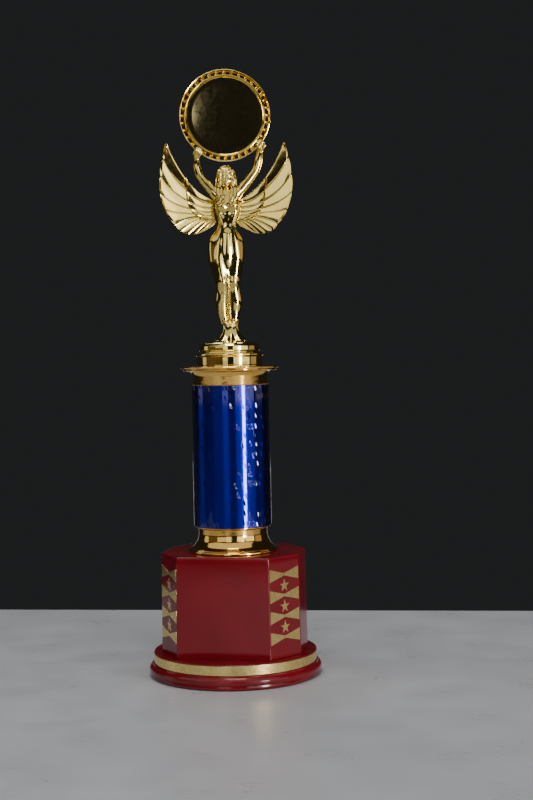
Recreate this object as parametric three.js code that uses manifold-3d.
// Column trophy: a winged figure holds up a medallion ring. It stands on a stepped round base, on a
// film-covered column between two flared caps, on an octagonal plinth with a round two-step foot.
// One threaded rod ties the stand together, and the figure is screwed onto the rod's free end.
// Millimetres, +Z up, front towards -Y. The origin is on the table, on the column's axis.
// Left and right are as seen from the front.
import * as THREE from "three";
import { mergeVertices } from "three/addons/utils/BufferGeometryUtils.js";
import Module from "manifold-3d";

const wasm = await Module();
wasm.setup();

// Driving dimensions: heights above the table, and radii.
const FOOT_TOP = 16;
const PLINTH_TOP = 81.1;
const COLUMN_BOTTOM = 98.1;
const COLUMN_TOP = 190.3;
const BRIM_TOP = 202.9;
const FIGURE_FLOOR = 218.8;
const MEDALLION_HEIGHT = 365;

const FOOT_RADIUS = 56.6;
const PLINTH_RADIUS = 47.4; // of the circle through the plinth's top corners
const PLINTH_FOOT_RADIUS = 48.2; // the same at its lower edge: the walls have a slight draft
const COLUMN_RADIUS = 25.6;
const BRIM_RADIUS = 32.6;
const MEDALLION_RADIUS = 29.75;
const ROD_RADIUS = 3; // M6
const FIGURE_TURN = 15; // degrees that the figure is turned from the plinth's front

const GAP = 0.3; // air between pieces that touch
const WALL = 2.4; // moulded plastic wall
const CAP_WALL = 2;
const FOIL = 0.2;
const HOLE_RADIUS = ROD_RADIUS + 0.4; // clearance hole for the rod
const SIDES = 40; // of every round piece
const NUT_HEIGHT = 5;
const NUT_ACROSS_FLATS = 10;
const CORNER_ANGLES = [-141, -107, -73, -39, 39, 73, 107, 141]; // plinth corners, from the front
const radians = THREE.MathUtils.degToRad;

const RED = { color: 0x6b141c, roughness: 0.22, metalness: 0 };
const CAP_GOLD = { color: 0xd9a441, roughness: 0.12, metalness: 1 };
const PALE_GOLD = { color: 0xdcc878, roughness: 0.12, metalness: 1 };
const FOIL_GOLD = { color: 0xbfa65a, roughness: 0.35, metalness: 1 };
const BLUE_FILM = { color: 0x0a1fb4, roughness: 0.12, metalness: 1 };
const STEEL = { color: 0xa8abaf, roughness: 0.35, metalness: 1 };
const IRON = { color: 0x3a3b3d, roughness: 0.7, metalness: 0.6 };
const FELT = { color: 0x1d1f24, roughness: 1, metalness: 0 };
const TUBE = { color: 0xc9c7c0, roughness: 0.6, metalness: 0 };

// Solids ---------------------------------------------------------------------------------------

// A solid turned about Z. The profile holds [radius, height] points from axis to axis.
function turned(profile) {
  const points = profile.map(([radius, height]) => new THREE.Vector2(radius, height));
  return new THREE.LatheGeometry(points, SIDES).rotateX(Math.PI / 2);
}

// The same for a closed profile that stays clear of the axis.
function turnedRing(profile) {
  return turned([...profile, profile[0]]);
}

function tube(inner, outer, bottom, top) {
  return turnedRing([[inner, bottom], [outer, bottom], [outer, top], [inner, top]]);
}

// A solid through sections with equal numbers of points, each counterclockwise about the way forward.
function loft(sections) {
  const count = sections[0].length;
  const last = sections.length - 1;
  const positions = sections.flat();
  const middle = (section) =>
    section.reduce((sum, point) => sum.add(point), new THREE.Vector3()).divideScalar(count);
  const start = positions.push(middle(sections[0])) - 1;
  const end = positions.push(middle(sections[last])) - 1;
  const faces = [];
  for (let j = 0; j < count; j++) {
    const k = (j + 1) % count;
    for (let i = 0; i < last; i++) {
      const low = i * count;
      const high = low + count;
      faces.push(low + j, low + k, high + k, low + j, high + k, high + j);
    }
    faces.push(start, k, j);
    faces.push(end, last * count + j, last * count + k);
  }
  return new THREE.BufferGeometry().setFromPoints(positions).setIndex(faces);
}

function solidOf(geometry) {
  const bare = new THREE.BufferGeometry();
  bare.setAttribute("position", geometry.getAttribute("position"));
  bare.setIndex(geometry.index);
  const merged = mergeVertices(bare, 1e-3);
  const vertProperties = new Float32Array(merged.attributes.position.array);
  const triVerts = new Uint32Array(merged.index.array);
  return new wasm.Manifold(new wasm.Mesh({ numProp: 3, vertProperties, triVerts }));
}

function geometryOf(solid) {
  const { vertProperties, triVerts } = solid.getMesh();
  const geometry = new THREE.BufferGeometry();
  geometry.setAttribute("position", new THREE.BufferAttribute(vertProperties, 3));
  geometry.setIndex(new THREE.BufferAttribute(triVerts, 1));
  geometry.computeVertexNormals();
  return geometry;
}

function joined(geometries) {
  return geometries.map(solidOf).reduce((whole, piece) => whole.add(piece));
}

// Stand ----------------------------------------------------------------------------------------

const FELT_RADIUS = 51.5;
const FELT_THICKNESS = 1.2;
const BAND_BOTTOM = 9.4;
const BAND_TOP = 15.2;
const BAND_RADIUS = 53.6;

function feltPad() {
  return turned([[0, 0], [FELT_RADIUS, 0], [FELT_RADIUS, FELT_THICKNESS], [0, FELT_THICKNESS]]);
}

// A moulded foot, open below, with a rolled bead, a narrower step for the band and a flat top.
function footShell() {
  const recess = FELT_RADIUS + GAP;
  const ledge = FELT_THICKNESS + GAP;
  const inner = recess - 1.6;
  const groove = BAND_RADIUS - 2 * FOIL - GAP;
  return turnedRing([
    [recess, 0],
    [FOOT_RADIUS - 2, 0],
    [FOOT_RADIUS - 1.2, 0.8],
    [FOOT_RADIUS - 0.3, 2.4],
    [FOOT_RADIUS, 4.2],
    [FOOT_RADIUS - 0.2, 6.2],
    [FOOT_RADIUS - 0.6, 7.2],
    [FOOT_RADIUS - 1.6, 7.6],
    [FOOT_RADIUS - 2, BAND_BOTTOM - GAP],
    [groove, BAND_BOTTOM - GAP],
    [groove, BAND_TOP + GAP],
    [BAND_RADIUS - 0.2, BAND_TOP + GAP],
    [BAND_RADIUS - 0.7, FOOT_TOP],
    [HOLE_RADIUS, FOOT_TOP],
    [HOLE_RADIUS, FOOT_TOP - WALL],
    [inner, FOOT_TOP - WALL],
    [inner, ledge],
    [recess, ledge],
  ]);
}

function footBand() {
  return tube(BAND_RADIUS - 2 * FOIL, BAND_RADIUS, BAND_BOTTOM, BAND_TOP);
}

const WASHER_RADIUS = 9;
const WASHER_THICKNESS = 1.3;
const CLAMP_WASHER_TOP = FOOT_TOP - WALL - GAP;
const CLAMP_NUT_TOP = CLAMP_WASHER_TOP - WASHER_THICKNESS - GAP;
const UPPER_WASHER_BOTTOM = BRIM_TOP + GAP;
const UPPER_NUT_BOTTOM = UPPER_WASHER_BOTTOM + WASHER_THICKNESS + GAP;

function washer(bottom) {
  return tube(HOLE_RADIUS, WASHER_RADIUS, bottom, bottom + WASHER_THICKNESS);
}

function hexNut(bottom) {
  const corner = NUT_ACROSS_FLATS / 2 / Math.cos(Math.PI / 6);
  const corners = Array.from({ length: 6 }, (_, i) => {
    const angle = (i * Math.PI) / 3;
    return new THREE.Vector2(corner * Math.cos(angle), corner * Math.sin(angle));
  });
  const outline = new THREE.Shape(corners);
  const hole = new THREE.Path().absarc(0, 0, HOLE_RADIUS, 0, 2 * Math.PI, true);
  outline.holes.push(hole);
  const settings = { depth: NUT_HEIGHT, bevelEnabled: false, curveSegments: 24 };
  return new THREE.ExtrudeGeometry(outline, settings).translate(0, 0, bottom);
}

function ballastBlock() {
  const bottom = FOOT_TOP + GAP;
  return tube(HOLE_RADIUS, 33, bottom, bottom + 10);
}

function octagon(radius, height) {
  return CORNER_ANGLES.map((angle) => {
    const turn = radians(angle);
    return new THREE.Vector3(radius * Math.sin(turn), -radius * Math.cos(turn), height);
  });
}

const PLINTH_BOTTOM = FOOT_TOP + GAP;
const PLINTH_DRAFT = (PLINTH_FOOT_RADIUS - PLINTH_RADIUS) / (PLINTH_TOP - PLINTH_BOTTOM);

function plinthRadius(height) {
  return PLINTH_RADIUS + (PLINTH_TOP - height) * PLINTH_DRAFT;
}

// An eight-sided box, open below, with wide front and back faces and a hole for the rod on top.
function plinthShell() {
  const edge = 0.9;
  const inset = WALL / Math.cos(radians(CORNER_ANGLES[4]));
  const outside = loft([
    octagon(PLINTH_FOOT_RADIUS, PLINTH_BOTTOM),
    octagon(plinthRadius(PLINTH_TOP - edge), PLINTH_TOP - edge),
    octagon(PLINTH_RADIUS - edge, PLINTH_TOP),
  ]);
  const inside = loft([
    octagon(PLINTH_FOOT_RADIUS - inset, PLINTH_BOTTOM - WALL),
    octagon(PLINTH_RADIUS - inset, PLINTH_TOP - WALL),
  ]);
  const hole = turned([[0, 60], [HOLE_RADIUS, 60], [HOLE_RADIUS, 90], [0, 90]]);
  return geometryOf(solidOf(outside).subtract(solidOf(inside)).subtract(solidOf(hole)));
}

const FOIL_BOTTOM = 25.7;
const FOIL_TOP = 73.9;
const FOIL_WIDTH = 26;
const [WIDE_CORNER, NARROW_CORNER] = CORNER_ANGLES.slice(4);
const DIAGONAL = (WIDE_CORNER + NARROW_CORNER) / 2; // angle of the middle of a diagonal face
const FOIL_FACES = {
  foil_front_left: -DIAGONAL,
  foil_front_right: DIAGONAL,
  foil_back_left: DIAGONAL - 180,
  foil_back_right: 180 - DIAGONAL,
};

// A strip of foil on the diagonal plinth face whose middle is at this angle from the front.
function foilStrip(angle) {
  const height = FOIL_TOP - FOIL_BOTTOM;
  const middle = (FOIL_TOP + FOIL_BOTTOM) / 2;
  const flatness = Math.cos(radians((NARROW_CORNER - WIDE_CORNER) / 2));
  const distance = plinthRadius(middle) * flatness;
  const lean = Math.atan(PLINTH_DRAFT * flatness);
  return new THREE.BoxGeometry(FOIL_WIDTH, FOIL, height)
    .translate(0, -distance - GAP - FOIL / 2, 0)
    .rotateX(-lean)
    .translate(0, 0, middle)
    .rotateZ(angle);
}

// A flared cap: a rolled flange on the plinth, a cove up to the neck, a ledge that carries the
// column tube and a spigot inside it.
function lowerCap() {
  const bottom = PLINTH_TOP + GAP;
  const ledge = COLUMN_BOTTOM - GAP;
  const spigot = COLUMN_RADIUS - 2.7;
  return turnedRing([
    [HOLE_RADIUS, bottom],
    [29.2, bottom],
    [29.7, bottom + 0.6],
    [29.5, bottom + 1.5],
    [28.8, bottom + 2],
    [27.4, 83.7],
    [25.4, 85.3],
    [23.8, 87.5],
    [22.9, 89.5],
    [22.4, 92],
    [22.5, ledge - 1.2],
    [24.6, ledge - 0.8],
    [24.6, ledge],
    [spigot, ledge],
    [spigot, ledge + 10],
    [spigot - CAP_WALL, ledge + 10],
    [spigot - CAP_WALL, 91],
    [21.8, 87.5],
    [24.2, bottom + CAP_WALL],
    [HOLE_RADIUS, bottom + CAP_WALL],
  ]);
}

function columnTube() {
  const outer = COLUMN_RADIUS - FOIL - GAP;
  return tube(outer - 1.8, outer, COLUMN_BOTTOM, COLUMN_TOP - GAP);
}

function filmWrap() {
  return tube(COLUMN_RADIUS - FOIL, COLUMN_RADIUS, COLUMN_BOTTOM, COLUMN_TOP - GAP);
}

// A flared cap on the column: a spigot in the tube, a collar that widens upwards and a wide brim.
function upperCap() {
  const spigot = COLUMN_RADIUS - 2.7;
  return turnedRing([
    [spigot - CAP_WALL, COLUMN_TOP - 10],
    [spigot, COLUMN_TOP - 10],
    [spigot, COLUMN_TOP],
    [24.7, COLUMN_TOP],
    [24.8, 193],
    [25.1, 195.5],
    [25.8, 197.6],
    [27, 199],
    [31.5, 199.6],
    [BRIM_RADIUS - 0.1, 200.4],
    [BRIM_RADIUS, BRIM_TOP - 0.5],
    [BRIM_RADIUS - 0.3, BRIM_TOP],
    [HOLE_RADIUS, BRIM_TOP],
    [HOLE_RADIUS, BRIM_TOP - CAP_WALL],
    [spigot - CAP_WALL, BRIM_TOP - CAP_WALL],
  ]);
}

// Topper ---------------------------------------------------------------------------------------

const BOSS_BOTTOM = 210.4;
const POCKET_TOP = BOSS_BOTTOM + NUT_HEIGHT + 2 * GAP;
const INSERT_BOTTOM = BOSS_BOTTOM + GAP;
const ROD_BOTTOM = 5.5;
const ROD_TOP = POCKET_TOP - GAP;

function tieRod() {
  return turned([[0, ROD_BOTTOM], [ROD_RADIUS, ROD_BOTTOM], [ROD_RADIUS, ROD_TOP], [0, ROD_TOP]]);
}

// Two round tiers with a neck between them, hollow below, with a boss that holds the threaded insert.
function figureBase() {
  const pocket = 6.1;
  const boss = 8.6;
  const bottom = BRIM_TOP + GAP;
  return turned([
    [0, POCKET_TOP],
    [pocket, POCKET_TOP],
    [pocket, BOSS_BOTTOM],
    [boss, BOSS_BOTTOM],
    [boss, 215],
    [17, 215],
    [17.2, 211.5],
    [19.2, 208.8],
    [19.2, bottom],
    [21.4, bottom],
    [21.5, 209],
    [22.3, 209.6],
    [22.2, 210.3],
    [19.7, 210.9],
    [19.2, 211.8],
    [19.9, 212.5],
    [20, 215.2],
    [19, 216.5],
    [17, 217.4],
    [11.5, FIGURE_FLOOR],
    [0, FIGURE_FLOOR],
  ]);
}

const MEDALLION_DEPTH = 3.2; // half the ring's depth

// A ring profile's second value is the distance in front of the medallion's middle plane.
function facingFront(geometry) {
  return geometry.rotateX(Math.PI / 2).translate(0, 0, MEDALLION_HEIGHT);
}

// Two thin rims with a channel between them, a bevel inside and a lip behind that carries the dish.
function medallionRing() {
  const rim = MEDALLION_RADIUS;
  return facingFront(
    turnedRing([
      [25.6, -MEDALLION_DEPTH],
      [rim - 0.4, -MEDALLION_DEPTH],
      [rim, 0.5 - MEDALLION_DEPTH],
      [rim, MEDALLION_DEPTH - 0.5],
      [rim - 0.4, MEDALLION_DEPTH],
      [rim - 1, MEDALLION_DEPTH],
      [rim - 1.2, 1.8],
      [26.3, 1.8],
      [26, MEDALLION_DEPTH],
      [25.6, MEDALLION_DEPTH],
      [24.6, 2],
      [24.6, 0.4],
      [22.9, 0.4],
      [22.9, -0.8],
    ]),
  );
}

// A shallow hollow dish that shines like a mirror, with a rim that sits on the ring's lip.
function medallionDish() {
  const rim = 24.3;
  const thickness = 1;
  const hollow = (radius) => -0.8 + 2.3 * (radius / 22.4) ** 2;
  const radii = [3, 9, 14, 18.5, 22.4];
  const back = radii.map((radius) => [radius, hollow(radius) - thickness]);
  const front = radii.map((radius) => [radius, hollow(radius)]).reverse();
  return facingFront(
    turned([
      [0, hollow(3) - thickness],
      ...back,
      [rim, 0.7],
      [rim, 1.7],
      ...front,
      [0, hollow(3)],
    ]),
  );
}

// An oval section in a plane across Z.
function oval(height, left, right, halfDepth, back) {
  const sides = 16;
  const middle = (left + right) / 2;
  const half = (right - left) / 2;
  return Array.from({ length: sides }, (_, i) => {
    const angle = (2 * Math.PI * i) / sides;
    return new THREE.Vector3(middle + half * Math.cos(angle), back + halfDepth * Math.sin(angle), height);
  });
}

function ellipsoid(x, y, z, halfWidth, halfDepth, halfHeight) {
  return new THREE.SphereGeometry(1, 16, 12).scale(halfWidth, halfDepth, halfHeight).translate(x, y, z);
}

// A round limb through [x, z, radius] points in a plane across Y.
function limb(y, joints) {
  const sides = 10;
  const points = joints.map(([x, z]) => new THREE.Vector3(x, y, z));
  const along = new THREE.CatmullRomCurve3(points);
  const across = new THREE.Vector3(0, 1, 0);
  return loft(
    joints.map(([, , radius], i) => {
      const tangent = along.getTangent(i / (joints.length - 1));
      const side = new THREE.Vector3().crossVectors(across, tangent).normalize();
      return Array.from({ length: sides }, (_, j) => {
        const angle = (2 * Math.PI * j) / sides;
        const point = points[i].clone();
        point.addScaledVector(side, radius * Math.cos(angle));
        return point.addScaledVector(across, radius * Math.sin(angle));
      });
    }),
  );
}

// The slender figure: legs together on a flared foot, arms raised to the medallion, long loose hair.
// Each body section has its height above the base, left edge, right edge, half depth and middle depth.
function figureBody() {
  const sections = [
    [GAP, -8, 11, 7.5, 0],
    [3.2, -6.2, 8.2, 5.8, 0],
    [7, -4.9, 6.3, 4.8, 0.2],
    [15, -6.2, 6.9, 5, 0.6],
    [26, -8.2, 8.8, 6.2, 0.9],
    [35, -8, 7.8, 5.8, 0],
    [47, -10.8, 9.5, 6.6, -0.3],
    [56, -12.3, 10.8, 7.2, 0.2],
    [64, -11.8, 10.3, 7.6, 0.8],
    [70, -9.4, 8.8, 6.6, 0.6],
    [77, -5.9, 5.9, 5, 0],
    [85, -6.4, 7.2, 5.6, -0.4],
    [92, -7.6, 9, 5.4, 0],
    [96.5, -6.6, 7, 4, 0.4],
    [99, -3.4, 3.4, 3.2, 0.6],
    [104, -2.8, 2.8, 2.8, 0.2],
  ].map(([height, ...rest]) => oval(FIGURE_FLOOR + height, ...rest));
  const body = joined([
    loft(sections),
    ellipsoid(0, -0.4, 325.2, 5.4, 6.4, 7.4), // head
    ellipsoid(0, 2.2, 321, 6.2, 4.2, 10.5), // hair
    limb(0.2, [[-5, 311.5, 3.2], [-7.8, 314.5, 3], [-16.8, 326, 2.6], [-18.6, 333, 2.5], [-18.8, 338.6, 1.9]]),
    limb(0.2, [[5, 312, 3.2], [8, 315, 3], [19.2, 329.6, 2.6], [21.2, 337, 2.5], [22.9, 343, 1.9]]),
    ellipsoid(-18.8, 0, 340, 3.1, 5, 3),
    ellipsoid(24, 0, 344.5, 3.1, 5, 3),
  ]);
  const radius = MEDALLION_RADIUS + GAP;
  const depth = MEDALLION_DEPTH + GAP;
  const grip = facingFront(turned([[0, -depth], [radius, -depth], [radius, depth], [0, depth]]));
  return geometryOf(body.subtract(solidOf(grip)));
}

const WING_THICKNESS = 2;
const WING_BACK = 8.4;
const WING_SWEEP = 8; // degrees that each wing comes forward

// A wing seen from the front: its tip, the outer edge down and round to the root, the top edge back.
function wing(side) {
  const at = (x, z) => new THREE.Vector2(side * x, z);
  const outline = new THREE.Shape();
  outline.moveTo(side * 38.7, 349);
  outline.splineThru([at(44, 332), at(43.9, 314.8), at(36.2, 296.4), at(23, 288.4), at(9, 295)]);
  outline.lineTo(side * 3, 299);
  outline.lineTo(side * 3, 309);
  outline.splineThru([at(8.8, 310.8), at(17.7, 316.5), at(25.9, 325), at(32.6, 336), at(38.7, 349)]);
  const settings = { depth: WING_THICKNESS, bevelEnabled: false, curveSegments: 3 };
  return new THREE.ExtrudeGeometry(outline, settings)
    .rotateX(Math.PI / 2)
    .rotateZ(radians(-side * WING_SWEEP))
    .translate(0, WING_BACK, 0);
}

// Assembly -------------------------------------------------------------------------------------

const trophy = new THREE.Group();
const stand = new THREE.Group();
const topper = new THREE.Group();
trophy.add(stand, topper);
topper.rotation.z = radians(FIGURE_TURN);

function add(group, name, geometry, finish) {
  const mesh = new THREE.Mesh(geometry, new THREE.MeshStandardMaterial(finish));
  mesh.name = name;
  group.add(mesh);
}

add(stand, "felt_pad", feltPad(), FELT);
add(stand, "foot_shell", footShell(), RED);
add(stand, "foot_band", footBand(), FOIL_GOLD);
add(stand, "clamp_nut", hexNut(CLAMP_NUT_TOP - NUT_HEIGHT), STEEL);
add(stand, "clamp_washer", washer(CLAMP_WASHER_TOP - WASHER_THICKNESS), STEEL);
add(stand, "ballast_block", ballastBlock(), IRON);
add(stand, "plinth_shell", plinthShell(), RED);

for (const [name, angle] of Object.entries(FOIL_FACES)) {
  add(stand, name, foilStrip(radians(angle)), FOIL_GOLD);
}

add(stand, "lower_cap", lowerCap(), CAP_GOLD);
add(stand, "column_tube", columnTube(), TUBE);
add(stand, "film_wrap", filmWrap(), BLUE_FILM);
add(stand, "upper_cap", upperCap(), CAP_GOLD);
add(stand, "tie_rod", tieRod(), STEEL);
add(stand, "upper_washer", washer(UPPER_WASHER_BOTTOM), STEEL);
add(stand, "upper_nut", hexNut(UPPER_NUT_BOTTOM), STEEL);

add(topper, "figure_base", figureBase(), PALE_GOLD);
add(topper, "figure_insert", hexNut(INSERT_BOTTOM), STEEL);
add(topper, "figure_body", figureBody(), PALE_GOLD);
add(topper, "wing_left", wing(-1), PALE_GOLD);
add(topper, "wing_right", wing(1), PALE_GOLD);
add(topper, "medallion_ring", medallionRing(), PALE_GOLD);
add(topper, "medallion_dish", medallionDish(), PALE_GOLD);

export default trophy;
